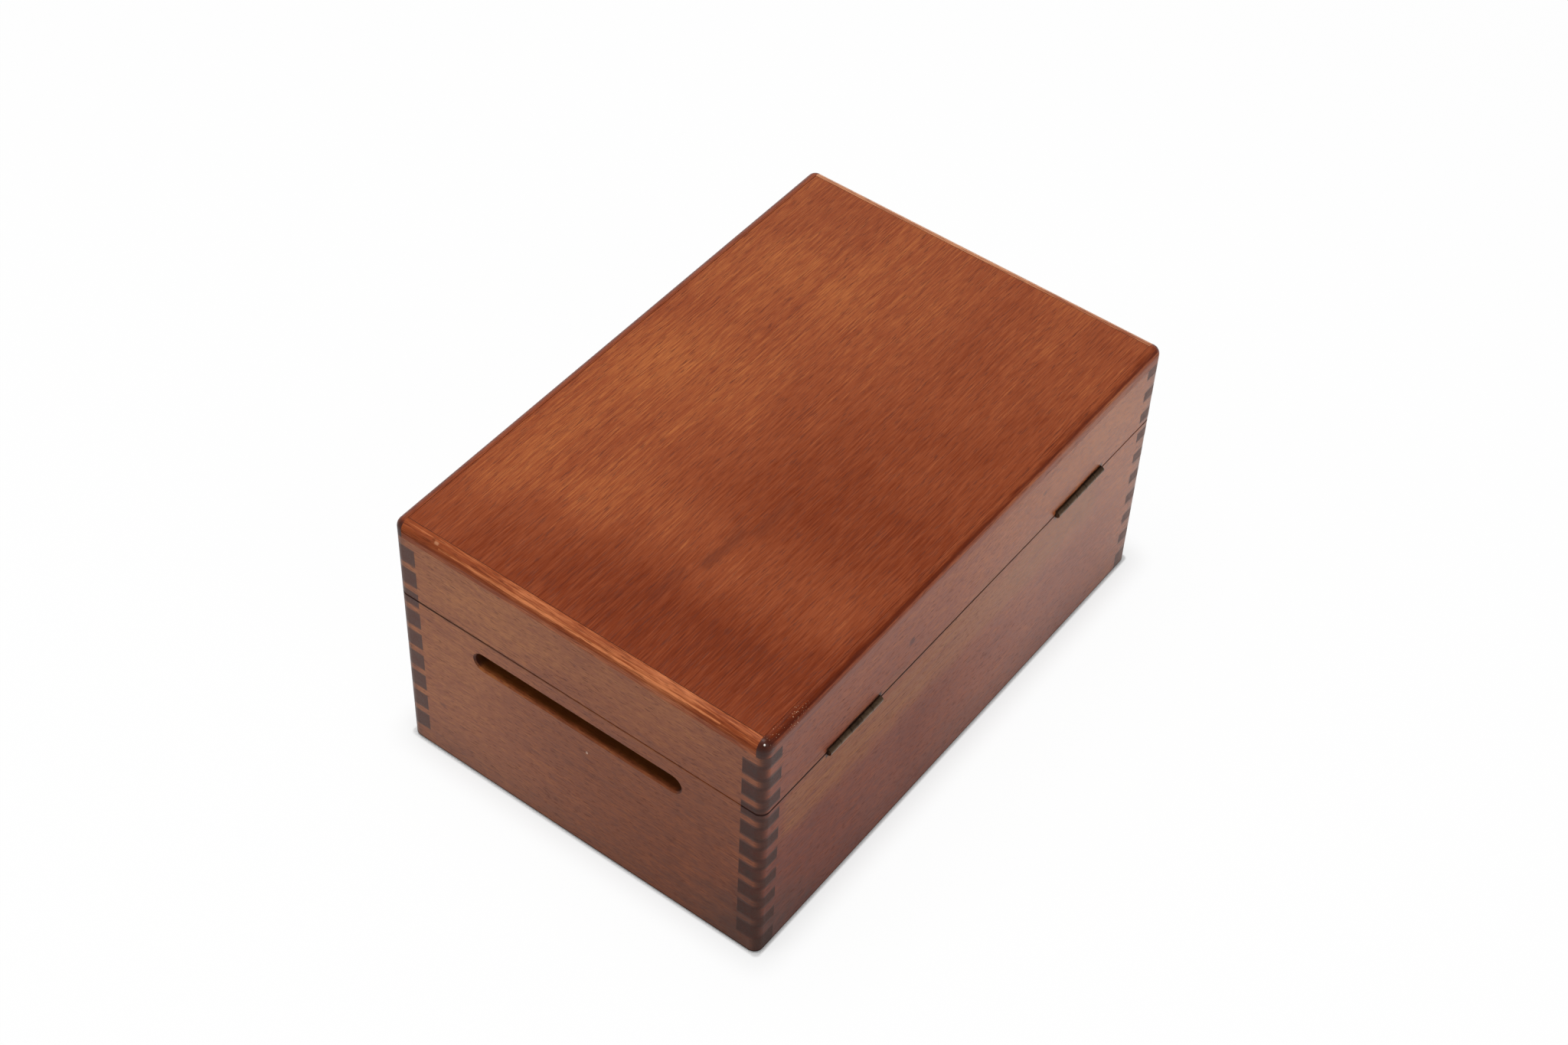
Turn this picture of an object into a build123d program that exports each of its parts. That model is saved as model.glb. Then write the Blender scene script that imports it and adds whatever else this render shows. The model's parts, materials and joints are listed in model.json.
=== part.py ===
from build123d import *
import os

# Sizes in millimetres.
# X runs along the length, +Y is the hinge side, +Z is up.
# The outside of the closed box
box_length = 400.0
box_width = 266.0
base_height = 131.5
lid_height = 60.0
seam_gap = 0.5
edge_radius = 6.0
foot_radius = 2.0
seam_ease = 0.6

# The carcass is glued up as one closed box and then sawn into base and lid.
board_thickness = 15.0
saw_kerf = 2.0
end_finger = 7.8
side_finger = 10.8
least_bottom_finger = 12.0

# The veneered top, edged with solid lippings
top_thickness = 11.0
veneer_thickness = 0.8
lipping_width = 6.5

# The bottom panel and its groove
bottom_thickness = 6.0
bottom_lift = 5.0
groove_depth = 6.0
groove_clearance = 0.1

# The hand slot through each end board
slot_length = 152.0
slot_height = 13.0
slot_below_rim = 13.0
slot_ease = 1.0

# The butt hinges, their middles set in from the ends of the box
hinge_inset = 84.0
hinge_length = 50.0
knuckle_count = 5
knuckle_gap = 0.3
barrel_diameter = 4.6
pin_diameter = 2.4
axis_proud = 0.4
leaf_width = 11.5
leaf_thickness = 1.5
leaf_corner = 0.8
pin_end_round = 0.3
pin_seat_clearance = 0.01
pin_running_clearance = 0.05
barrel_clearance = 0.35
mortise_clearance = 0.1

# The hinge screws, countersunk and slotted
screws_per_leaf = 3
screw_end_margin = 8.0
screw_line = 7.2
screw_stagger = 1.0
screw_head_diameter = 5.0
screw_shank_diameter = 2.6
screw_length = 12.0
screw_tip_length = 2.5
screw_tip_diameter = 0.8
screw_slot_width = 0.7
screw_slot_depth = 0.5
screw_clearance = 0.05

# Levels, faces and axes that the pieces share
lid_bottom = base_height + seam_gap
box_height = lid_bottom + lid_height
top_bottom = box_height - top_thickness
carcass_height = base_height + saw_kerf + lid_height - top_thickness
lid_drop = saw_kerf - seam_gap
finger_pitch = end_finger + side_finger
inner_length = box_length - 2 * board_thickness
inner_width = box_width - 2 * board_thickness
axis_y = box_width / 2 + axis_proud
axis_z = base_height + seam_gap / 2
barrel_radius = barrel_diameter / 2
pin_radius = pin_diameter / 2
knuckle_length = (hinge_length - (knuckle_count - 1) * knuckle_gap) / knuckle_count
knuckle_step = knuckle_length + knuckle_gap
barrel_reach = axis_proud + barrel_radius

# Stock that a cut runs past the face it starts from
overcut = 5.0


def block(low, high):
    """A solid box between its lowest and highest corners."""
    size = [b - a for a, b in zip(low, high)]
    return Pos(*low) * Box(*size, align=(Align.MIN, Align.MIN, Align.MIN))


def rod_along_x(start, end, y, z, radius):
    """A round bar along X."""
    return Pos(start, y, z) * Rot(0, 90, 0) * Cylinder(
        radius, end - start, align=(Align.CENTER, Align.CENTER, Align.MIN)
    )


def footprint_block(bottom, top):
    """A block over the whole footprint of the box, between two levels."""
    return block((-box_length / 2, -box_width / 2, bottom), (box_length / 2, box_width / 2, top))


def base_outside():
    """The outside of the base: round corners, a rounded foot and an eased rim."""
    body = footprint_block(0, base_height)
    body = fillet(body.edges().filter_by(Axis.Z), edge_radius)
    body = fillet(body.faces().sort_by(Axis.Z)[0].edges(), foot_radius)
    return fillet(body.faces().sort_by(Axis.Z)[-1].edges(), seam_ease)


def lid_outside():
    """The outside of the lid: round corners and top edges, and an eased rim."""
    body = footprint_block(lid_bottom, box_height)
    round_edges = body.edges().filter_by(Axis.Z) + body.faces().sort_by(Axis.Z)[-1].edges()
    body = fillet(round_edges, edge_radius)
    return fillet(body.faces().sort_by(Axis.Z)[0].edges(), seam_ease)


def side_finger_levels():
    """Bottom and top of every side finger, counted down from the top of the unsawn carcass."""
    room = carcass_height - least_bottom_finger
    pairs = int(room // finger_pitch)
    levels = []
    for pair in range(pairs):
        top = carcass_height - end_finger - pair * finger_pitch
        levels.append((top - side_finger, top))
    return levels


def side_fingers(x_sign, y_sign):
    """The stack of side fingers that fills one corner of the carcass."""
    x_inner = box_length / 2 - board_thickness
    y_inner = box_width / 2 - board_thickness
    x_low, x_high = sorted((x_sign * x_inner, x_sign * box_length / 2))
    y_low, y_high = sorted((y_sign * y_inner, y_sign * box_width / 2))
    return [block((x_low, y_low, low), (x_high, y_high, high)) for low, high in side_finger_levels()]


def side_board(y_sign):
    """A long board of the unsawn carcass, with its fingers at both ends and the groove inside."""
    y_low, y_high = sorted((y_sign * inner_width / 2, y_sign * box_width / 2))
    board = block((-inner_length / 2, y_low, 0), (inner_length / 2, y_high, carcass_height))
    board = board.fuse(*side_fingers(1, y_sign), *side_fingers(-1, y_sign))
    return board - bottom_groove()


def end_board(x_sign):
    """A short board of the unsawn carcass, notched for the side fingers, with groove and slot."""
    x_low, x_high = sorted((x_sign * inner_length / 2, x_sign * box_length / 2))
    board = block((x_low, -box_width / 2, 0), (x_high, box_width / 2, carcass_height))
    board = board.cut(*side_fingers(x_sign, 1), *side_fingers(x_sign, -1))
    return board - bottom_groove() - hand_slot(x_sign)


def bottom_groove():
    """The room of the bottom panel inside the four boards."""
    x_reach = inner_length / 2 + groove_depth
    y_reach = inner_width / 2 + groove_depth
    top = bottom_lift + bottom_thickness
    return block((-x_reach, -y_reach, bottom_lift), (x_reach, y_reach, top))


def bottom_panel():
    """The plywood bottom, let into the groove with room to move."""
    x_reach = inner_length / 2 + groove_depth - groove_clearance
    y_reach = inner_width / 2 + groove_depth - groove_clearance
    top = bottom_lift + bottom_thickness
    return block((-x_reach, -y_reach, bottom_lift), (x_reach, y_reach, top))


def slot_outline(growth):
    """A round-ended slot in the plane of an end board, grown on every side."""
    centre_z = base_height - slot_below_rim - slot_height / 2
    plane = Plane(origin=(0, 0, centre_z), x_dir=(0, 1, 0), z_dir=(1, 0, 0))
    return plane * SlotOverall(slot_length + 2 * growth, slot_height + 2 * growth)


def hand_slot(x_sign):
    """The cut of the hand slot, with its outer and inner edges eased."""
    through = extrude(slot_outline(0), box_length / 2 + overcut)
    if x_sign < 0:
        through = mirror(through, about=Plane.YZ)
    cut = through
    for face_x, outward in ((box_length / 2, 1), (inner_length / 2, -1)):
        wide = Pos(x_sign * face_x, 0, 0) * slot_outline(slot_ease)
        narrow = Pos(x_sign * (face_x - outward * slot_ease), 0, 0) * slot_outline(0)
        cut += loft([wide.face(), narrow.face()])
    return cut


def base_part(board):
    """What the saw leaves below the seam."""
    reach = box_length + box_width
    return board & block((-reach, -reach, -overcut), (reach, reach, base_height))


def lid_part(board):
    """What the saw leaves above the seam, let down until the lid is closed."""
    reach = box_length + box_width
    above = block((-reach, -reach, base_height + saw_kerf), (reach, reach, carcass_height + overcut))
    return Pos(0, 0, -lid_drop) * (board & above)


def hinge_span(x_sign):
    """Where a hinge starts and ends along X."""
    middle = x_sign * (box_length / 2 - hinge_inset)
    return middle - hinge_length / 2, middle + hinge_length / 2


def hinge_mortise(x_sign, lower):
    """The recess of one leaf and its half of the barrel in a rim."""
    start, end = hinge_span(x_sign)
    start -= mortise_clearance
    end += mortise_clearance
    inner_edge = axis_y - leaf_width - mortise_clearance
    if lower:
        floor, rim = base_height - leaf_thickness, base_height + overcut
    else:
        floor, rim = lid_bottom - overcut, lid_bottom + leaf_thickness
    recess = block((start, inner_edge, floor), (end, axis_y + overcut, rim))
    return recess + rod_along_x(start, end, axis_y, axis_z, barrel_radius + barrel_clearance)


def screw_places(x_sign):
    """The screw centres of one leaf, staggered about the screw line."""
    start, end = hinge_span(x_sign)
    first, last = start + screw_end_margin, end - screw_end_margin
    step = (last - first) / (screws_per_leaf - 1)
    places = []
    for index in range(screws_per_leaf):
        side = 1 if index % 2 else -1
        places.append((first + index * step, axis_y - screw_line + side * screw_stagger))
    return places


def screw_body(growth):
    """A countersunk screw pointing down, its head flush at the origin, grown by a clearance."""
    head = screw_head_diameter / 2 + growth
    shank = screw_shank_diameter / 2 + growth
    tip = screw_tip_diameter / 2 + growth
    cone_depth = head - shank
    tip_start = -(screw_length - screw_tip_length)
    bottom = -screw_length - growth
    outline = Polyline(
        (0, 0), (head, 0), (shank, -cone_depth), (shank, tip_start), (tip, bottom), (0, bottom), close=True
    )
    return revolve(Plane.XZ * make_face(outline), Axis.Z)


def screws(x_sign, lower, growth=0.0):
    """The screws of one leaf in place, or with growth the holes that they go into."""
    level = base_height if lower else lid_bottom
    turn = Rot(0, 0, 0) if lower else Rot(180, 0, 0)
    body = screw_body(growth)
    if not growth:
        slot = Box(screw_head_diameter, screw_slot_width, 2 * screw_slot_depth)
        body -= slot
    return [Pos(x, y, level) * turn * body for x, y in screw_places(x_sign)]


def hinge_fittings(board, lower):
    """Recess a back board's rim for both hinges and bore it for their screws."""
    for x_sign in (-1, 1):
        board -= hinge_mortise(x_sign, lower)
        board = board.cut(*screws(x_sign, lower, screw_clearance))
    return board


def knuckle_spans(x_sign, lower):
    """Start and end of the knuckles of one leaf: the base leaf has the outer ones."""
    start, _ = hinge_span(x_sign)
    first = 0 if lower else 1
    spans = []
    for index in range(first, knuckle_count, 2):
        low = start + index * knuckle_step
        spans.append((low, low + knuckle_length))
    return spans


def hinge_leaf(x_sign, lower):
    """A leaf with its rolled knuckles, drilled for the pin and the screws."""
    start, end = hinge_span(x_sign)
    floor, face = base_height - leaf_thickness, base_height
    if not lower:
        floor, face = lid_bottom, lid_bottom + leaf_thickness
    plate = block((start, axis_y - leaf_width, floor), (end, axis_y, face))
    inner_corners = plate.edges().filter_by(Axis.Z).group_by(Axis.Y)[0]
    leaf = fillet(inner_corners, leaf_corner)
    for low, high in knuckle_spans(x_sign, not lower):
        low, high = low - knuckle_gap, high + knuckle_gap
        leaf -= rod_along_x(low, high, axis_y, axis_z, barrel_radius + barrel_clearance)
    for low, high in knuckle_spans(x_sign, lower):
        leaf += rod_along_x(low, high, axis_y, axis_z, barrel_radius)
    clearance = pin_seat_clearance if lower else pin_running_clearance
    leaf -= rod_along_x(start - overcut, end + overcut, axis_y, axis_z, pin_radius + clearance)
    return leaf.cut(*screws(x_sign, lower, screw_clearance))


def hinge_pin(x_sign):
    """The pin through all knuckles, with rounded ends."""
    start, end = hinge_span(x_sign)
    pin = rod_along_x(start, end, axis_y, axis_z, pin_radius)
    return fillet(pin.edges().filter_by(GeomType.CIRCLE), pin_end_round)


def top_pieces():
    """Core, veneers and lippings of the top, as plain blocks under the rounded outside."""
    x_out, y_out = box_length / 2, box_width / 2
    x_in, y_in = x_out - lipping_width, y_out - lipping_width
    under = top_bottom + veneer_thickness
    upper = box_height - veneer_thickness
    return {
        "lid_core_panel": block((-x_in, -y_in, under), (x_in, y_in, upper)),
        "lid_top_veneer": block((-x_in, -y_in, upper), (x_in, y_in, box_height)),
        "lid_under_veneer": block((-x_in, -y_in, top_bottom), (x_in, y_in, under)),
        "lid_front_lipping": block((-x_out, -y_out, top_bottom), (x_out, -y_in, box_height)),
        "lid_back_lipping": block((-x_out, y_in, top_bottom), (x_out, y_out, box_height)),
        "lid_left_lipping": block((-x_out, -y_in, top_bottom), (-x_in, y_in, box_height)),
        "lid_right_lipping": block((x_in, -y_in, top_bottom), (x_out, y_in, box_height)),
    }


def all_pieces():
    """Every piece of the closed box by name."""
    front, back = side_board(-1), side_board(1)
    left, right = end_board(-1), end_board(1)
    base_wood = {
        "base_front": base_part(front),
        "base_back": hinge_fittings(base_part(back), True),
        "base_left_end": base_part(left),
        "base_right_end": base_part(right),
    }
    lid_wood = {
        "lid_front": lid_part(front),
        "lid_back": hinge_fittings(lid_part(back), False),
        "lid_left_end": lid_part(left),
        "lid_right_end": lid_part(right),
    }
    lid_wood.update(top_pieces())
    pieces = {name: piece & base_outside() for name, piece in base_wood.items()}
    pieces.update({name: piece & lid_outside() for name, piece in lid_wood.items()})
    pieces["bottom_panel"] = bottom_panel()
    for side, x_sign in (("left", -1), ("right", 1)):
        pieces[side + "_hinge_base_leaf"] = hinge_leaf(x_sign, True)
        pieces[side + "_hinge_lid_leaf"] = hinge_leaf(x_sign, False)
        pieces[side + "_hinge_pin"] = hinge_pin(x_sign)
    pieces["base_hinge_screws"] = Compound(screws(-1, True) + screws(1, True))
    pieces["lid_hinge_screws"] = Compound(screws(-1, False) + screws(1, False))
    return pieces


# The origin is under the middle of the whole footprint, hinge barrels included.
to_origin = Pos(0, -barrel_reach / 2, 0)
os.makedirs("parts", exist_ok=True)
for name, piece in all_pieces().items():
    solids = [to_origin * solid for solid in piece.solids()]
    export_step(Compound(solids), "parts/" + name + ".step")
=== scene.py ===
import bpy
import bmesh
import json
import math
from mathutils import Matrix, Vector

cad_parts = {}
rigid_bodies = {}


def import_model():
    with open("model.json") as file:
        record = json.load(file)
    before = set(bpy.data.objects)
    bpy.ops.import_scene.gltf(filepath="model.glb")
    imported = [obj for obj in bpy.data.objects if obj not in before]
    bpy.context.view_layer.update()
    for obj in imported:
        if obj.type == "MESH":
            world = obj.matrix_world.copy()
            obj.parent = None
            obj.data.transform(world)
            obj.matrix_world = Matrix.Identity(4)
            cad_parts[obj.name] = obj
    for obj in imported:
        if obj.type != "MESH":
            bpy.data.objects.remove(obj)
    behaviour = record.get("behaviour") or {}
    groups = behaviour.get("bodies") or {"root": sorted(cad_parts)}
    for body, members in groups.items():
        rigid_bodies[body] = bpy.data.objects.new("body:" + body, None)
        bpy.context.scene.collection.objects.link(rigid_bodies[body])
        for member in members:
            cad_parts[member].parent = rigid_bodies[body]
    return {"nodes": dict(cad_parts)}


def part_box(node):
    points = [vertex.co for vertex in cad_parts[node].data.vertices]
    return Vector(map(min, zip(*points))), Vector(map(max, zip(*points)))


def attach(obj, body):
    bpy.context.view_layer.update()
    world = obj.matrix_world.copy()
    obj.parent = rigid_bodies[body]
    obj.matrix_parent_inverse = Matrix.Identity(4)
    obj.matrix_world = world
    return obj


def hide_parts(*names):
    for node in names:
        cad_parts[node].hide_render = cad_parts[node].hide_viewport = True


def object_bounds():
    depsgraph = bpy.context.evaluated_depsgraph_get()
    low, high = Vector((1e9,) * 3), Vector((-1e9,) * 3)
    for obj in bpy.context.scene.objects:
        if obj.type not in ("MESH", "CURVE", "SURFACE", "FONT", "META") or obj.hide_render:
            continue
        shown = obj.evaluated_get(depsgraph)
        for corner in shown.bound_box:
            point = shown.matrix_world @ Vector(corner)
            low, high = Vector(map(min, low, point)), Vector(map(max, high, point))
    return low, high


for leftover in list(bpy.data.objects):  # start from an empty scene
    bpy.data.objects.remove(leftover)
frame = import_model()
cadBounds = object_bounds()
nodes = frame["nodes"]
print("frame loaded with", len(nodes), "nodes")

# outer faces of the closed box and the level of its seam
faces = dict(
    right=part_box("base_right_end")[1].x, left=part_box("base_left_end")[0].x,
    back=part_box("base_back")[1].y, front=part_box("base_front")[0].y,
    top=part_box("lid_top_veneer")[1].z,
    seam=(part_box("base_back")[1].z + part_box("lid_back")[0].z) / 2,
)
middleY = (faces["back"] + faces["front"]) / 2
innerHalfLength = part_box("base_right_end")[0].x
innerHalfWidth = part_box("base_back")[0].y - middleY
ends = ("left", "right")  # the short sides


def grow(tree, kind, inputs=None, **settings):
    node = tree.nodes.new(kind)
    for key, value in settings.items():
        setattr(node, key, value)
    for key, value in (inputs or {}).items():
        if isinstance(value, bpy.types.NodeSocket):
            tree.links.new(value, node.inputs[key])
        else:
            node.inputs[key].default_value = value
    return node


def calc(tree, operation, first, second=0.0, third=0.0, clamp=False):
    inputs = {0: first, 1: second, 2: third}
    return grow(tree, "ShaderNodeMath", inputs, operation=operation, use_clamp=clamp).outputs[0]


def vectorCalc(tree, operation, first, second=(0.0, 0.0, 0.0), output="Vector"):
    node = grow(tree, "ShaderNodeVectorMath", {0: first, 1: second}, operation=operation)
    return node.outputs[output]


def cloud(tree, point, scale, detail=2.0, roughness=0.5):
    # noise with one scale along X and another across it
    along, over = scale
    drawn = vectorCalc(tree, "MULTIPLY", point, (along, over, over))
    inputs = {"Vector": drawn, "Scale": 1.0, "Detail": detail, "Roughness": roughness}
    return grow(tree, "ShaderNodeTexNoise", inputs).outputs[0]


def swing(tree, noise, reach, start):
    # noise pushes a value up and down about its start
    return calc(tree, "MULTIPLY_ADD", calc(tree, "SUBTRACT", noise, 0.5), reach, start)


def ramp(tree, value, low, high, start=0.0, end=1.0):
    inputs = {0: value, 1: low, 2: high, 3: start, 4: end}
    return grow(tree, "ShaderNodeMapRange", inputs, interpolation_type="SMOOTHSTEP").outputs[0]


def awayFrom(tree, point, at, half):
    # distance from a block around a place, nought inside it
    gap = vectorCalc(tree, "ABSOLUTE", vectorCalc(tree, "SUBTRACT", point, at))
    gap = vectorCalc(tree, "MAXIMUM", vectorCalc(tree, "SUBTRACT", gap, half))
    return vectorCalc(tree, "LENGTH", gap, output="Value")


def fieldAround(tree, point, patch):
    away = awayFrom(tree, point, patch["at"], patch["half"])
    return ramp(tree, away, 0.0, patch["soft"], 1.0, 0.0)


def blend(tree, share, first, second):
    return grow(tree, "ShaderNodeMix", {0: share, 6: first, 7: second}, data_type="RGBA").outputs[2]


def toneRamp(tree, value, stops):
    node = grow(tree, "ShaderNodeValToRGB", {0: value})
    bar = node.color_ramp.elements
    while len(bar) < len(stops):
        bar.new(0.5)
    for spot, (where, colour) in zip(bar, stops):
        spot.position = where
        spot.color = colour
    return node.outputs[0]


def lookRamp(tree, value, look):
    return toneRamp(tree, value, [(stop, look[tone]) for tone, stop in look["stops"].items()])


def paint(red, green, blue):
    # display colour to the linear colour that shaders take
    def line(value):
        value /= 255
        return value / 12.92 if value < 0.04045 else ((value + 0.055) / 1.055) ** 2.4
    return line(red), line(green), line(blue), 1.0


def newMaterial(name):
    material = bpy.data.materials.new(name)
    material.use_nodes = True
    material.node_tree.nodes.clear()
    return material, material.node_tree


def closeMaterial(tree, shader):
    grow(tree, "ShaderNodeOutputMaterial", {"Surface": shader.outputs[0]})


# one maker's wood for the whole box: what each board changes is in its own dictionary
wood = dict(
    grain="X", shift=(0.0, 0.0, 0.0),
    deep=paint(86, 33, 19), dark=paint(112, 47, 27), middle=paint(146, 72, 39), light=paint(182, 106, 56),
    stops=dict(deep=0.0, dark=0.22, middle=0.5, light=0.78), tone=0.5,
    endGrain=paint(48, 36, 31), cutAcross=(0.20, 0.80), glue=paint(38, 20, 13),
    pore=paint(86, 36, 20), pores=0.60, poreCut=(0.55, 0.70),
    # strength of each layer of the grain, then its scale along and across the fibres
    bands=0.24, figure=0.26, mottle=0.12, line=0.34, fibre=0.46,
    bandsScale=(2.0, 24.0), figureScale=(15.0, 10.0), mottleScale=(80.0, 150.0),
    lineScale=(16.0, 1300.0), fibreScale=(80.0, 1200.0), poreScale=(110.0, 1800.0),
    driftScale=(3.5, 11.0), waver=0.010,
    # roughness of the finish and what fibres, cut ends and pores add to it
    gloss=0.34, fibreRough=0.25, endRough=0.1, poreRough=0.12, sheen=0.18,
    bump=0.14, bumpDepth=0.0004, poreSink=-0.6,
    # painted light and shade on rounded top edges, by how far the surface faces up
    crownShading=0.0, crownRise=(0.2, 0.6), rim=0.0, rimRise=(0.08, 0.35), rimFall=(0.85, 0.99),
    zones=(), marks=(), flecks=None, comb=None, seamRun=None,
)
grainNoise = {  # detail and roughness of the noise in each layer
    "bands": (3.0, 0.55), "figure": (2.0, 0.5), "mottle": (3.0, 0.5),
    "line": (1.0, 0.6), "fibre": (2.0, 0.6), "pore": (1.0, 0.6),
}
# colour of the painted shade in the seam between base and lid
seam = dict(reach=0.0007, soft=0.0012, flatRim=(0.85, 0.98), colour=paint(40, 14, 7))
# painted shade low on the sides and along the bottom edge, which is also made duller
footShade = dict(
    edgeLow=0.0013, edge=0.0030, edgeDepth=0.97, rise=0.05, riseDepth=0.14, dull=0.45,
    colour=paint(34, 26, 19),
)
fingers = dict(
    endFinger=0.0078, sideFinger=0.0108, drop=0.0015,  # drop is how far the lid came down when sawn off
    lowest=0.0110, reach=0.0009, soft=0.0022, zoneSoft=0.0006,
)
fingerPitch = fingers["endFinger"] + fingers["sideFinger"]
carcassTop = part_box("lid_back")[1].z + fingers["drop"]


def woodGrain(tree, look, point):
    turn = -math.pi / 2 if look["grain"] == "Y" else 0.0
    place = grow(tree, "ShaderNodeMapping", {
        "Vector": point, "Location": look["shift"], "Rotation": (0.0, 0.0, turn),
    }).outputs[0]
    # the fibres drift a little across the board
    drift = swing(tree, cloud(tree, place, look["driftScale"]), look["waver"], 0.0)
    sway = grow(tree, "ShaderNodeCombineXYZ", {1: drift, 2: drift}).outputs[0]
    fibres = vectorCalc(tree, "ADD", place, sway)
    return {name: cloud(tree, fibres, look[name + "Scale"], *noise) for name, noise in grainNoise.items()}


def woodTone(tree, look, point, upward, layers):
    tone = look["tone"]
    for name in ("bands", "figure", "mottle", "line", "fibre"):
        tone = swing(tree, layers[name], look[name], tone)
    # broad paler and darker fields, some of them painted light and shade, some duller or shinier too
    dulled = 0.0
    for patch in look["zones"]:
        field = fieldAround(tree, point, patch)
        tone = calc(tree, "MULTIPLY_ADD", field, patch["shift"], tone)
        if patch["dull"]:
            dulled = calc(tree, "MULTIPLY_ADD", field, patch["dull"], dulled)
    # painted light and shade on rounded edges, by how far the surface faces up
    if look["crownShading"]:
        crownShading = ramp(tree, upward, *look["crownRise"])
        tone = calc(tree, "MULTIPLY_ADD", crownShading, look["crownShading"], tone)
    if look["rim"]:
        rim = ramp(tree, upward, *look["rimFall"], 1.0, 0.0)
        rim = calc(tree, "MULTIPLY", rim, ramp(tree, upward, *look["rimRise"]))
        tone = calc(tree, "MULTIPLY_ADD", rim, look["rim"], tone)
    return tone, dulled


def stain(tree, colour, spot, point, layers):
    # a mark with an uneven edge, broken up by the fibres where it is streaky
    away = awayFrom(tree, point, spot["at"], spot["half"])
    away = swing(tree, layers["mottle"], spot["soft"], away)
    share = ramp(tree, away, 0.0, spot["soft"], spot["depth"], 0.0)
    if spot["streak"]:
        streaks = swing(tree, layers["line"], spot["streak"], 1.0)
        share = calc(tree, "MULTIPLY", share, streaks, clamp=True)
    return blend(tree, share, colour, spot["colour"])


def rubbedPores(tree, colour, flecks, point):
    # pores shine pale where the box is handled
    fleck = cloud(tree, point, flecks["scale"], flecks["detail"])
    fleck = ramp(tree, fleck, flecks["low"], flecks["high"], 0.0, flecks["depth"])
    share = calc(tree, "MULTIPLY", fleck, fieldAround(tree, point, flecks))
    return blend(tree, share, colour, flecks["colour"])


def creptFinish(tree, comb, where):
    # the finish has crept a little way over each finger joint
    along, height = where[comb["axis"]], where[2]
    unsawn = calc(tree, "GREATER_THAN", height, faces["seam"])
    unsawn = calc(tree, "MULTIPLY_ADD", unsawn, fingers["drop"], height)
    crept = calc(tree, "PINGPONG", calc(tree, "SUBTRACT", unsawn, comb["centre"]), fingerPitch / 2)
    crept = calc(tree, "SUBTRACT", crept, comb["half"])
    crept = ramp(tree, crept, fingers["reach"], fingers["soft"], 1.0, 0.0)
    outward = calc(tree, "ABSOLUTE", calc(tree, "SUBTRACT", along, comb["middle"]))
    limits = (
        ramp(tree, along, -comb["zone"], comb["zone"], comb["lowDepth"], comb["highDepth"]),
        ramp(tree, outward, comb["zone"] - fingers["zoneSoft"], comb["zone"]),
        ramp(tree, unsawn, fingers["lowest"] - fingers["zoneSoft"], fingers["lowest"]),
        ramp(tree, unsawn, comb["highest"] - fingers["zoneSoft"], comb["highest"], 1.0, 0.0),
    )
    for limit in limits:
        crept = calc(tree, "MULTIPLY", crept, limit)
    return crept


def seamShade(tree, run, where, upward):
    # painted shade in the gap of the seam, kept off the flat faces at the seam level
    gapShade = calc(tree, "ABSOLUTE", calc(tree, "SUBTRACT", where[2], faces["seam"]))
    gapShade = ramp(tree, gapShade, seam["reach"], seam["soft"], 1.0, 0.0)
    upright = ramp(tree, calc(tree, "ABSOLUTE", upward), *seam["flatRim"], 1.0, 0.0)
    strength = ramp(tree, where[run["axis"]], run["low"], run["high"], run["lowDepth"], run["highDepth"])
    return calc(tree, "MULTIPLY", calc(tree, "MULTIPLY", gapShade, upright), strength)


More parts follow.
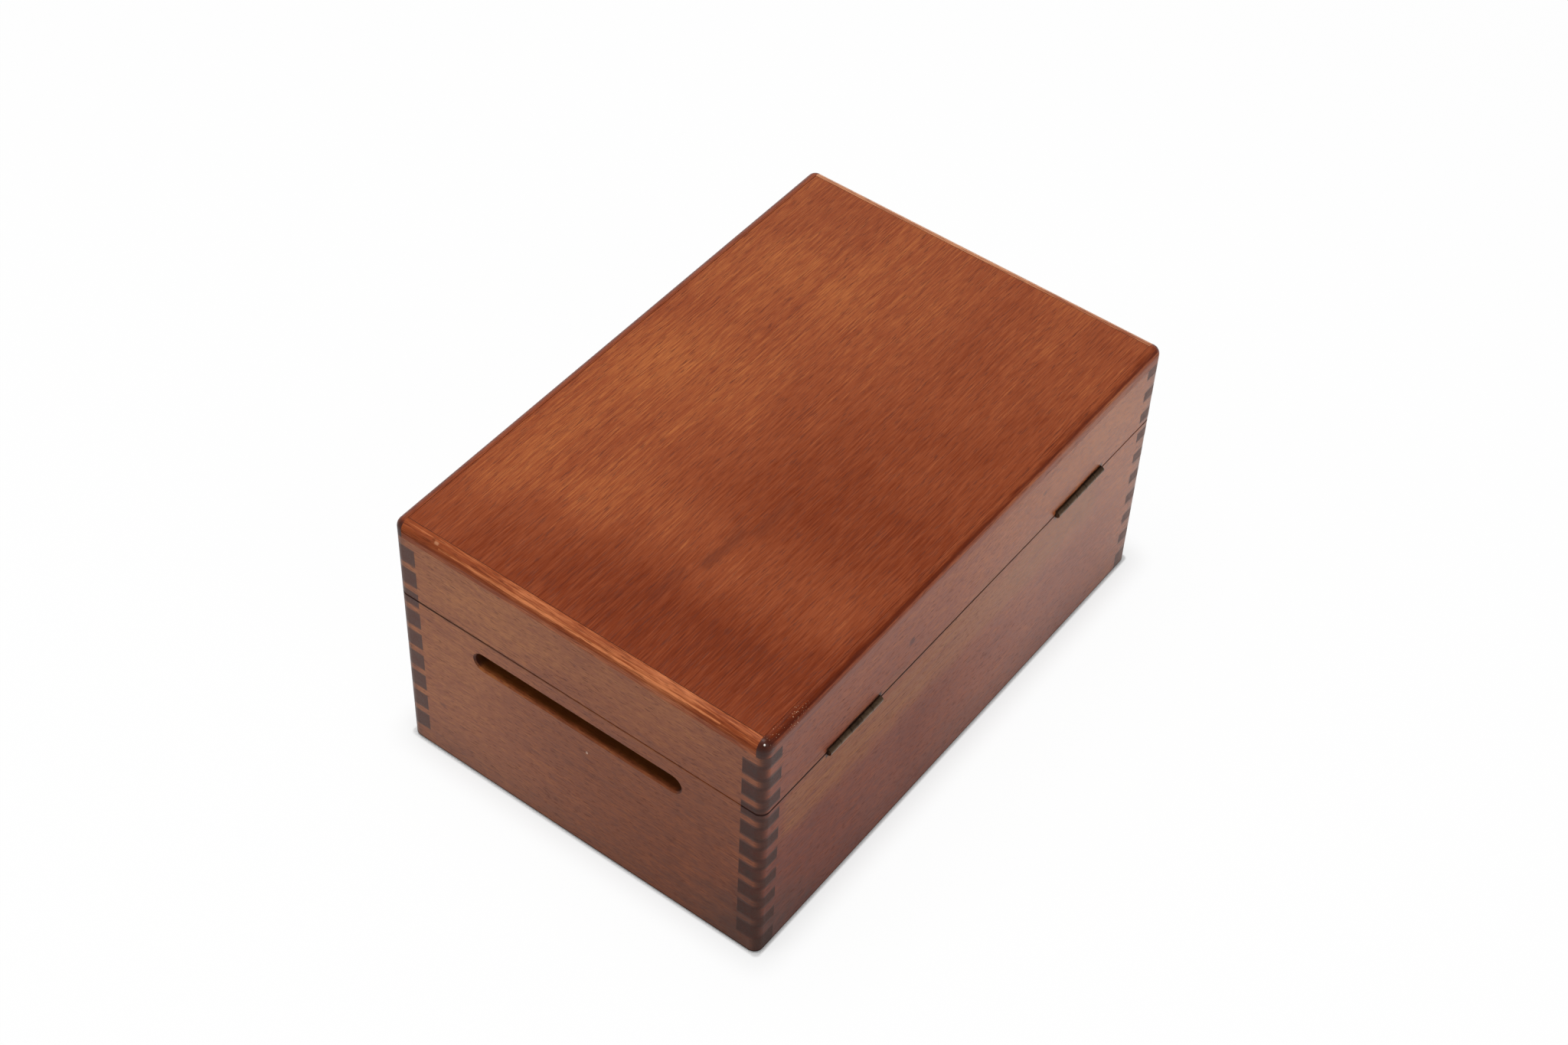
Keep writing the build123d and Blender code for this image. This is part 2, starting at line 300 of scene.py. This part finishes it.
def woodFinish(name, **changes):
    look = dict(wood, **changes)
    material, tree = newMaterial(name)
    coords = grow(tree, "ShaderNodeTexCoord").outputs
    point = coords["Object"]
    where = grow(tree, "ShaderNodeSeparateXYZ", {0: point}).outputs
    normal = grow(tree, "ShaderNodeSeparateXYZ", {0: coords["Normal"]}).outputs
    layers = woodGrain(tree, look, point)
    pore = ramp(tree, layers["pore"], *look["poreCut"])
    tone, dulled = woodTone(tree, look, point, normal[2], layers)
    colour = lookRamp(tree, tone, look)

    # cut across the fibres the wood soaks up the finish and darkens
    across = calc(tree, "ABSOLUTE", normal[1] if look["grain"] == "Y" else normal[0])
    across = ramp(tree, across, *look["cutAcross"])
    endGrain = blend(tree, layers["mottle"], look["endGrain"], look["pore"])
    colour = blend(tree, across, colour, endGrain)

    for spot in look["marks"]:
        colour = stain(tree, colour, spot, point, layers)
    colour = blend(tree, calc(tree, "MULTIPLY", pore, look["pores"]), colour, look["pore"])
    if look["flecks"]:
        colour = rubbedPores(tree, colour, look["flecks"], point)
    if look["comb"]:
        colour = blend(tree, creptFinish(tree, look["comb"], where), colour, endGrain)

    # painted shade darkens the lower sides, the bottom edge and the seam between base and lid; dark glue
    # marks the lines of the joints
    lowShade = ramp(tree, where[2], 0.0, footShade["rise"], footShade["riseDepth"], 0.0)
    colour = blend(tree, lowShade, colour, footShade["colour"])
    footLineShade = ramp(tree, where[2], footShade["edgeLow"], footShade["edge"], 1.0, 0.0)
    colour = blend(tree, calc(tree, "MULTIPLY", footLineShade, footShade["edgeDepth"]), colour, footShade["colour"])
    if look["seamRun"]:
        colour = blend(tree, seamShade(tree, look["seamRun"], where, normal[2]), colour, seam["colour"])
    joint = grow(tree, "ShaderNodeAttribute", attribute_name="jointLine").outputs["Fac"]
    colour = blend(tree, joint, colour, look["glue"])

    rough = swing(tree, layers["fibre"], look["fibreRough"], look["gloss"])
    rough = calc(tree, "MULTIPLY_ADD", across, look["endRough"], rough)
    rough = calc(tree, "MULTIPLY_ADD", footLineShade, footShade["dull"], rough)
    rough = calc(tree, "ADD", rough, dulled)
    rough = calc(tree, "MULTIPLY_ADD", pore, look["poreRough"], rough, clamp=True)
    relief = calc(tree, "MULTIPLY_ADD", pore, look["poreSink"], layers["fibre"])
    relief = grow(tree, "ShaderNodeBump", {
        "Strength": look["bump"], "Distance": look["bumpDepth"], "Height": relief,
    })
    shader = grow(tree, "ShaderNodeBsdfPrincipled", {
        "Base Color": colour, "Roughness": rough, "Normal": relief.outputs[0],
        "Specular IOR Level": look["sheen"],
    })
    closeMaterial(tree, shader)
    return material


def mark(at, half, colour, soft, depth, streak=0.0):
    return dict(at=at, half=half, colour=colour, soft=soft, depth=depth, streak=streak)


def zone(at, half, soft, shift, dull=0.0):
    return dict(at=at, half=half, soft=soft, shift=shift, dull=dull)


def on(side, along, height):
    # a place on one of the upright sides
    if side in ends:
        return faces[side], along, height
    return along, faces[side], height


def onTop(x, y):
    return x, y, faces["top"]


def onCorner(end, side, height):
    # a place on an upright edge of the box
    return faces[end], faces[side], height


def inFromNear(x, y, down):
    # a place in from the near top corner
    return faces["right"] - x, faces["back"] - y, faces["top"] - down


longComb = dict(
    axis=0, middle=0.0, zone=innerHalfLength, highest=0.1900, lowDepth=0.35, highDepth=0.85,
    centre=carcassTop - fingers["endFinger"] / 2, half=fingers["endFinger"] / 2,
)
shortComb = dict(
    axis=1, middle=middleY, zone=innerHalfWidth, highest=0.1790, lowDepth=0.85, highDepth=0.85,
    centre=carcassTop - fingers["endFinger"] - fingers["sideFinger"] / 2, half=fingers["sideFinger"] / 2,
)
# how strong the painted shade in the seam is along each side
longSeam = dict(axis=0, low=-0.19, high=0.15, lowDepth=0.55, highDepth=0.95)
shortSeam = dict(axis=1, low=-0.13, high=0.06, lowDepth=0.9, highDepth=0.12)

# painted shade down the upright corners and low at the nearest corner, and a paler painted reflection down
# the far corner
cornerShading = dict(
    near=mark(onCorner("right", "back", 0.090), (0.0016, 0.0016, 0.1), paint(84, 50, 39),
              soft=0.0050, depth=0.60),
    nearFoot=mark(onCorner("right", "back", 0.000), (0.0100, 0.0100, 0.010), paint(62, 38, 30),
                  soft=0.0600, depth=0.60),
    front=mark(onCorner("right", "front", 0.090), (0.0030, 0.0030, 0.1), paint(98, 62, 48),
               soft=0.0070, depth=0.50),
    far=mark(onCorner("left", "back", 0.090), (0.0050, 0.0050, 0.1), paint(136, 99, 85),
             soft=0.0100, depth=0.55),
)
recess = dict(
    inset=0.00285, past=0.0006, halfDepth=0.0026, halfHeight=0.0036,
    soft=0.0014, depth=0.97, colour=paint(30, 13, 8),
)
# colour and place of the painted shade inside the hand slots
handSlot = dict(
    inset=0.010, height=0.112, half=(0.0055, 0.076, 0.0068),
    soft=0.003, depth=0.75, colour=paint(92, 50, 12),
)


def hingeRecess(side):
    # shadow round the barrel of a hinge
    low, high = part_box(side + "_hinge_pin")
    at = ((low.x + high.x) / 2, faces["back"] - recess["inset"], faces["seam"])
    half = ((high.x - low.x) / 2 + recess["past"], recess["halfDepth"], recess["halfHeight"])
    return mark(at, half, recess["colour"], recess["soft"], recess["depth"])


def slotShade(end):
    # painted shade inside a hand slot, golden brown like its lit floor
    inset = math.copysign(handSlot["inset"], faces[end])
    at = (faces[end] - inset, middleY, handSlot["height"])
    return mark(at, handSlot["half"], handSlot["colour"], handSlot["soft"], handSlot["depth"])


# where each side was cut from the log: the board below and the lipping above share it
logs = dict(front=(1.31, 0.42, 0.0), back=(0.57, 0.11, 0.3), right=(2.13, 0.91, 0.2), left=(3.71, 0.33, 0.5))
boardGrain = dict(
    bands=0.14, figure=0.18, mottle=0.18, line=0.25, fibre=0.60,
    fibreScale=(150.0, 1000.0), poreScale=(210.0, 1700.0),
)
longBoard = dict(boardGrain, grain="X", comb=longComb, seamRun=longSeam)
# the two ends are of a browner board than the long sides and the top
shortBoard = dict(
    boardGrain, grain="Y", comb=shortComb, seamRun=shortSeam,
    deep=paint(84, 39, 21), dark=paint(111, 55, 30), middle=paint(147, 80, 43), light=paint(182, 113, 60),
)
boards = {
    "front": dict(
        longBoard, endGrain=paint(90, 66, 56),
        zones=(zone(on("front", 0.050, 0.105), (0.12, 0.01, 0.004), soft=0.040, shift=0.08),),
        marks=(
            mark(on("front", -0.090, 0.070), (0.0, 0.01, 0.0), paint(88, 42, 28), soft=0.0026, depth=0.6),
            cornerShading["front"],
        ),
    ),
    "back": dict(
        longBoard,
        zones=(
            # painted shade at the near lower corner and low in the middle, painted light high at the far end
            # and across the lid
            zone(on("back", 0.180, 0.010), (0.03, 0.01, 0.02), soft=0.220, shift=-0.26, dull=0.2),
            zone(on("back", -0.180, 0.160), (0.03, 0.01, 0.03), soft=0.180, shift=0.14, dull=-0.16),
            zone(on("back", -0.050, 0.040), (0.09, 0.01, 0.025), soft=0.050, shift=-0.06, dull=0.05),
            zone(on("back", -0.020, 0.172), (0.14, 0.01, 0.008), soft=0.050, shift=0.07),
        ),
        marks=(
            mark(on("back", 0.062, 0.154), (0.0010, 0.01, 0.0012), paint(84, 26, 14),
                 soft=0.0028, depth=0.8),
            mark(on("back", -0.073, 0.165), (0.0008, 0.01, 0.0006), paint(90, 32, 18),
                 soft=0.0024, depth=0.7),
            mark(on("back", 0.020, 0.113), (0.15, 0.01, 0.010), paint(156, 92, 38),
                 soft=0.020, depth=0.55, streak=4.0),
            hingeRecess("right"), hingeRecess("left"),
            cornerShading["far"], cornerShading["near"], cornerShading["nearFoot"],
        ),
    ),
    "right": dict(
        shortBoard,
        zones=(
            # painted shade at the near lower corner, painted light at the far end and across the lid
            zone(on("right", 0.110, 0.010), (0.02, 0.03, 0.02), soft=0.200, shift=-0.20, dull=0.2),
            zone(on("right", -0.110, 0.120), (0.02, 0.02, 0.05), soft=0.100, shift=0.08),
            zone(on("right", 0.000, 0.172), (0.02, 0.08, 0.008), soft=0.040, shift=0.05),
        ),
        marks=(
            mark(on("right", 0.0065, 0.0905), (0.002, 0.0, 0.0003), paint(226, 196, 170),
                 soft=0.0011, depth=0.9),
            mark(on("right", -0.107, 0.047), (0.002, 0.001, 0.0), paint(88, 44, 30), soft=0.0028, depth=0.5),
            cornerShading["front"], slotShade("right"), cornerShading["near"], cornerShading["nearFoot"],
        ),
    ),
    "left": dict(
        shortBoard, endGrain=paint(104, 76, 64),
        zones=(zone(on("left", -0.080, 0.040), (0.02, 0.03, 0.02), soft=0.150, shift=-0.10),),
        marks=(
            mark(on("left", 0.060, 0.050), (0.002, 0.0, 0.0), paint(88, 42, 28), soft=0.0026, depth=0.6),
            cornerShading["far"], slotShade("left"),
        ),
    ),
}

# lippings: painted shade darkens the long ones along the round, painted light makes the short ones pale
longLipping = dict(
    grain="X", crownShading=-0.12, crownRise=(0.48, 0.66), rim=-0.22, rimRise=(0.48, 0.62), rimFall=(0.70, 1.0),
    deep=paint(80, 24, 4), dark=paint(106, 39, 9),
)
shortLipping = dict(grain="Y", crownShading=0.10, gloss=0.27)
# below the top: the ridge of a short round, which carries a painted highlight, and where it runs into the
# end and has lost its shine
lippingRound = dict(ridge=0.0028, end=0.0054)
ridge = faces["top"] - lippingRound["ridge"]
roundEnd = faces["top"] - lippingRound["end"]
lippings = {
    "front": longLipping,
    "back": dict(
        longLipping,
        zones=(
            # painted shade at the near end and painted light at the far end of the round
            zone(inFromNear(0.010, 0.00265, 0.003), (0.02, 0.01, 0.01), soft=0.10, shift=-0.16),
            zone(inFromNear(0.350, 0.00265, 0.0015), (0.05, 0.01, 0.001), soft=0.12, shift=0.05),
        ),
        marks=(
            mark(inFromNear(0.0040, 0.00315, 0.0030), (0.0020, 0.0020, 0.0030), paint(58, 24, 15),
                 soft=0.0050, depth=0.80),
            # a painted highlight on the corner ball
            mark(inFromNear(0.0032, 0.00345, 0.0014), (0.0001, 0.0001, 0.0002), paint(255, 250, 242),
                 soft=0.0006, depth=1.00),
        ),
        flecks=dict(
            at=inFromNear(0.024, 0.00415, 0.001), half=(0.014, 0.003, 0.002), soft=0.006,
            scale=(1100.0, 1100.0), detail=1.0, low=0.67, high=0.76, depth=0.70, colour=paint(226, 184, 150),
        ),
    ),
    "right": dict(
        # its light tone is the colour of the painted highlight along the ridge; the zones paint shade where
        # the round runs into the end and the highlight along the ridge
        shortLipping, crownShading=0.02, gloss=0.36, sheen=0.07, light=paint(212, 130, 83),
        zones=(
            zone(on("right", 0.0, roundEnd), (0.01, 0.14, 0.0010), soft=0.0014, shift=-0.04, dull=0.45),
            zone(on("right", 0.0, ridge), (0.01, 0.10, 0.0002), soft=0.0008, shift=0.16),
            zone(on("right", 0.02, ridge), (0.01, 0.05, 0.0002), soft=0.0300, shift=0.06),
        ),
        marks=(
            mark(inFromNear(0.0026, 0.23445, 0.002), (0.0002, 0.0008, 0.001), paint(214, 158, 118),
                 soft=0.0012, depth=0.45),
            mark(inFromNear(0.0038, 0.23715, 0.002), (0.0006, 0.0004, 0.001), paint(92, 40, 22),
                 soft=0.0010, depth=0.60),
        ),
    ),
    "left": dict(
        # painted highlight along the round and where it runs into the end, in its light tone
        shortLipping, rim=0.34, light=paint(214, 150, 106),
        zones=(zone(on("left", 0.0, roundEnd), (0.01, 0.14, 0.0010), soft=0.0014, shift=0.10, dull=0.45),),
    ),
}
boardWoods = {}
lippingWoods = {}
for side, log in logs.items():
    boardWoods[side] = woodFinish(side + "_board_wood", shift=log, **boards[side])
    lippingWoods[side] = woodFinish(side + "_lipping_wood", shift=log, **lippings[side])

# the veneer has a golden figure across its grain and a few redder fields, and painted shade darkens its near
# corner
veneer = dict(
    shift=(0.23, 0.37, 0.0), gloss=0.32, line=0.40, fibre=0.50,
    deep=paint(90, 31, 8), dark=paint(118, 47, 16),
    zones=(
        zone(onTop(0.107, 0.040), (0.004, 0.080, 0.01), soft=0.050, shift=0.15),
        zone(onTop(0.070, -0.080), (0.050, 0.010, 0.01), soft=0.070, shift=0.09),
        zone(onTop(-0.070, -0.072), (0.030, 0.010, 0.01), soft=0.060, shift=0.06),
        zone(onTop(0.190, -0.110), (0.010, 0.020, 0.01), soft=0.050, shift=-0.10),
        zone(onTop(-0.130, 0.085), (0.030, 0.010, 0.01), soft=0.080, shift=-0.05),
        zone(onTop(0.012, 0.060), (0.020, 0.030, 0.01), soft=0.080, shift=-0.07),
        zone(onTop(0.168, 0.010), (0.006, 0.040, 0.01), soft=0.070, shift=-0.06),
        # painted shade over the near corner of the top
        zone(onTop(0.200, 0.130), (0.060, 0.030, 0.01), soft=0.260, shift=-0.25),
    ),
    marks=(
        mark(onTop(0.100, 0.026), (0.016, 0.0008, 0.01), paint(92, 40, 24), soft=0.006, depth=0.44),
        mark(onTop(0.064, 0.034), (0.016, 0.0008, 0.01), paint(96, 42, 25), soft=0.005, depth=0.30),
        mark(onTop(0.140, 0.018), (0.012, 0.0010, 0.01), paint(98, 42, 25), soft=0.006, depth=0.28),
    ),
)
topVeneer = woodFinish("top_veneer_wood", **veneer)
innerVeneer = woodFinish("inner_veneer_wood", shift=(2.23, 0.17, 0.0), gloss=0.45)
bottomWood = woodFinish("bottom_ply_wood", shift=(4.1, 0.7, 0.0), gloss=0.5)

# plain block board inside the top, seen only when the lid is taken apart
core = dict(
    shift=(5.3, 0.2, 0.0), gloss=0.6,
    dark=paint(150, 110, 70), middle=paint(176, 136, 92), light=paint(196, 160, 116),
)
coreBoard = woodFinish("core_board_wood", **core)
print("wood finishes mixed for", len(logs), "sides, the top and the bottom")

brass = dict(
    clean=paint(122, 100, 80), tarnish=paint(93, 74, 58), shadow=paint(68, 54, 43),
    stops=dict(shadow=0.32, tarnish=0.52, clean=0.78),
    blotchScale=(90.0, 90.0), gritScale=(900.0, 900.0), drawScale=(40.0, 2400.0),
    blotchDetail=4.0, blotchRoughness=0.6,
    rough=0.38, gritRough=0.4, draw=0.5, bump=0.18, bumpDepth=0.0002,
)


def brassFinish(name, **changes):
    look = dict(brass, **changes)
    material, tree = newMaterial(name)
    point = grow(tree, "ShaderNodeTexCoord").outputs["Object"]
    blotch = cloud(tree, point, look["blotchScale"], look["blotchDetail"], look["blotchRoughness"])
    grit = cloud(tree, point, look["gritScale"])
    draw = cloud(tree, point, look["drawScale"])
    rough = swing(tree, grit, look["gritRough"], look["rough"])
    height = calc(tree, "MULTIPLY_ADD", draw, look["draw"], grit)
    relief = grow(tree, "ShaderNodeBump", {
        "Strength": look["bump"], "Distance": look["bumpDepth"], "Height": height,
    })
    shader = grow(tree, "ShaderNodeBsdfPrincipled", {
        "Base Color": lookRamp(tree, blotch, look), "Roughness": rough, "Normal": relief.outputs[0],
        "Metallic": 1.0,
    })
    closeMaterial(tree, shader)
    return material


hingeBrass = brassFinish("hinge_brass_aged")
screwBrass = brassFinish("screw_brass_aged", tarnish=paint(94, 76, 50), rough=0.3)
print("brass finishes mixed")

outline = dict(
    halfLength=faces["right"], halfWidth=(faces["back"] - faces["front"]) / 2,
    corner=0.006, near=0.00003,
)
jointCut = dict(
    width=0.0003, sharp=math.radians(50), soft=math.radians(32),
    weld=0.000002, flat=math.radians(0.5), weight=100,
)
jointShade = dict(fingers=0.85, long=0.15, short=0.5, veneer=0.15)  # how dark the glue lines are


def offOutline(point):
    inX = abs(point.x) - outline["halfLength"] + outline["corner"]
    inY = abs(point.y - middleY) - outline["halfWidth"] + outline["corner"]
    return math.hypot(max(inX, 0.0), max(inY, 0.0)) + min(max(inX, inY), 0.0) - outline["corner"]


def isSharp(edge):
    return edge.calc_face_angle(0.0) > jointCut["sharp"]


def jointEdges(shape):
    # sharp edges that lie on the outside of the box: the finger joints and the hinge recesses
    def outside(edge):
        return all(abs(offOutline(vert.co)) < outline["near"] for vert in edge.verts)
    return [edge for edge in shape.edges if isSharp(edge) and outside(edge)]


def topEdges(shape):
    # sharp edges at the level of the top: where veneer and lippings meet
    level = cadBounds[1].z - outline["near"]
    return [edge for edge in shape.edges if isSharp(edge) and all(vert.co.z > level for vert in edge.verts)]


def dress(nodeName, pieceName, body, finish, pickEdges, shade):
    shape = bmesh.new()
    shape.from_mesh(nodes[nodeName].data)
    bmesh.ops.remove_doubles(shape, verts=shape.verts, dist=jointCut["weld"])
    bmesh.ops.dissolve_limit(shape, angle_limit=jointCut["flat"], verts=shape.verts, edges=shape.edges)
    line = shape.faces.layers.float.new("jointLine")
    cut = bmesh.ops.bevel(shape, geom=pickEdges(shape), offset=jointCut["width"], offset_type="OFFSET",
                          segments=1, profile=0.5, affect="EDGES", material=-1, clamp_overlap=True)
    for face in shape.faces:
        face.smooth = True
    for face in cut["faces"]:
        face[line] = shade
    for edge in shape.edges:
        edge.smooth = edge.calc_face_angle(0.0) < jointCut["soft"]
    mesh = bpy.data.meshes.new(pieceName)
    shape.to_mesh(mesh)
    shape.free()
    mesh.materials.append(finish)
    piece = bpy.data.objects.new(pieceName, mesh)
    bpy.context.scene.collection.objects.link(piece)
    even = piece.modifiers.new("even_shading", "WEIGHTED_NORMAL")
    even.weight = jointCut["weight"]
    even.keep_sharp = True
    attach(piece, body)
    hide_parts(nodeName)


for part in ("base", "lid"):
    for side in ("front", "back", *ends):
        name = part + "_" + side + ("_end" if side in ends else "")
        dress(name, name + "_board", part, boardWoods[side], jointEdges, jointShade["fingers"])
for side, finish in lippingWoods.items():
    name = "lid_" + side + "_lipping"
    shade = jointShade["short" if side in ends else "long"]
    dress(name, name + "_strip", "lid", finish, topEdges, shade)
shade = jointShade["veneer"]
dress("lid_top_veneer", "lid_top_veneer_sheet", "lid", topVeneer, topEdges, shade)
print("boards, lippings and veneer dressed")

keptNodes = {
    "lid_under_veneer": innerVeneer,
    "lid_core_panel": coreBoard,
    "bottom_panel": bottomWood,
    "base_hinge_screws": screwBrass,
    "lid_hinge_screws": screwBrass,
}
for side in ("left", "right"):
    for part in ("base_leaf", "lid_leaf", "pin"):
        keptNodes[side + "_hinge_" + part] = hingeBrass
for name, finish in keptNodes.items():
    mesh = nodes[name].data
    mesh.materials.clear()
    mesh.materials.append(finish)
print("kept nodes finished:", len(keptNodes))

studio = dict(
    floorReach=12.0, floorDrop=0.0001, floorWhite=0.94, floorGlow=0.955,
    nearGlow=0.72, nearReach=0.024, footInset=0.002,
    contactGlow=0.12, contactLow=0.0022, contactReach=0.0040,
    roomLight=0.24, backdropLow=0.50, backdropHigh=0.74,
    nearSide=(0.82, 0.57, 0.0), backdropFar=-0.35, backdropEnd=-0.05,
    aim=(0.0, 0.0, 0.1),
)
softboxes = {
    "softbox": dict(place=(0.10, -0.15, 2.3), size=1.1, power=34.0),
    "window": dict(place=(1.36, -0.86, 1.55), size=0.4, power=4.0),
    "fill": dict(place=(0.50, 2.20, 1.60), size=1.2, power=13.0),
}
white = (1.0, 1.0, 1.0, 1.0)


def grey(level):
    return level, level, level, 1.0


def backgroundRay(tree, mirrored=1.0):
    path = grow(tree, "ShaderNodeLightPath").outputs
    seen = calc(tree, "MULTIPLY_ADD", path["Is Glossy Ray"], mirrored, path["Is Camera Ray"])
    return calc(tree, "MAXIMUM", seen, path["Is Transmission Ray"], clamp=True)


def layFloor():
    shape = bmesh.new()
    bmesh.ops.create_grid(shape, x_segments=1, y_segments=1, size=studio["floorReach"])
    bmesh.ops.translate(shape, verts=shape.verts, vec=(0.0, 0.0, -studio["floorDrop"]))
    mesh = bpy.data.meshes.new("floor")
    shape.to_mesh(mesh)
    shape.free()
    floor = bpy.data.objects.new("floor", mesh)
    bpy.context.scene.collection.objects.link(floor)
    material, tree = newMaterial("pale_floor")
    matt = grow(tree, "ShaderNodeBsdfDiffuse", {"Color": grey(studio["floorWhite"])})
    glow = grow(tree, "ShaderNodeEmission", {"Color": white, "Strength": 1.0})
    # the glow sinks beside the box, so that its shadow and the line of contact stay
    point = grow(tree, "ShaderNodeTexCoord").outputs["Object"]
    inset = studio["footInset"]
    half = (outline["halfLength"] - inset, outline["halfWidth"] - inset, 1.0)
    away = awayFrom(tree, point, (0.0, middleY, 0.0), half)
    lit = ramp(tree, away, 0.0, studio["nearReach"], studio["nearGlow"], studio["floorGlow"])
    contact = ramp(tree, away, studio["contactLow"], studio["contactReach"], studio["contactGlow"], 1.0)
    share = calc(tree, "MULTIPLY", calc(tree, "MULTIPLY", lit, contact), backgroundRay(tree))
    both = grow(tree, "ShaderNodeMixShader", {0: share, 1: matt.outputs[0], 2: glow.outputs[0]})
    closeMaterial(tree, both)
    mesh.materials.append(material)


def hangSoftbox(name, box):
    lamp = bpy.data.lights.new(name, "AREA")
    lamp.size = box["size"]
    lamp.energy = box["power"]
    holder = bpy.data.objects.new(name, lamp)
    bpy.context.scene.collection.objects.link(holder)
    holder.location = box["place"]
    aim = Vector(studio["aim"]) - Vector(box["place"])
    holder.rotation_euler = aim.to_track_quat("-Z", "Y").to_euler()


def lightRoom():
    room = bpy.data.worlds.new("room")
    room.use_nodes = True
    tree = room.node_tree
    tree.nodes.clear()
    dim = grow(tree, "ShaderNodeBackground", {"Color": grey(studio["roomLight"])})
    bright = grow(tree, "ShaderNodeBackground", {"Color": white})
    # a white backdrop stands a third of the way overhead, and the box mirrors its far side
    sight = grow(tree, "ShaderNodeTexCoord").outputs["Object"]
    upward = grow(tree, "ShaderNodeSeparateXYZ", {0: sight}).outputs[2]
    backdrop = ramp(tree, upward, studio["backdropLow"], studio["backdropHigh"], 1.0, 0.0)
    nearer = vectorCalc(tree, "DOT_PRODUCT", sight, studio["nearSide"], "Value")
    farSide = ramp(tree, nearer, studio["backdropFar"], studio["backdropEnd"], 1.0, 0.0)
    share = calc(tree, "MULTIPLY", backdrop, backgroundRay(tree, farSide))
    both = grow(tree, "ShaderNodeMixShader", {0: share, 1: dim.outputs[0], 2: bright.outputs[0]})
    grow(tree, "ShaderNodeOutputWorld", {"Surface": both.outputs[0]})
    bpy.context.scene.world = room


layFloor()
for name, box in softboxes.items():
    hangSoftbox(name, box)
lightRoom()
print("studio set")

photoView = dict(
    place=(0.93549, 0.64916, 1.33266),
    turn=(42.9702, -1.9768, 127.0411),
    lens=63.0645, sensor=36.0,
)
camera = bpy.data.cameras.new("photo_view")
camera.lens = photoView["lens"]
camera.sensor_width = photoView["sensor"]
camera.sensor_fit = "HORIZONTAL"
stand = bpy.data.objects.new("photo_view", camera)
bpy.context.scene.collection.objects.link(stand)
stand.location = photoView["place"]
stand.rotation_euler = [math.radians(angle) for angle in photoView["turn"]]
bpy.context.scene.camera = stand
bpy.context.scene.view_settings.view_transform = "Standard"
print("camera placed")
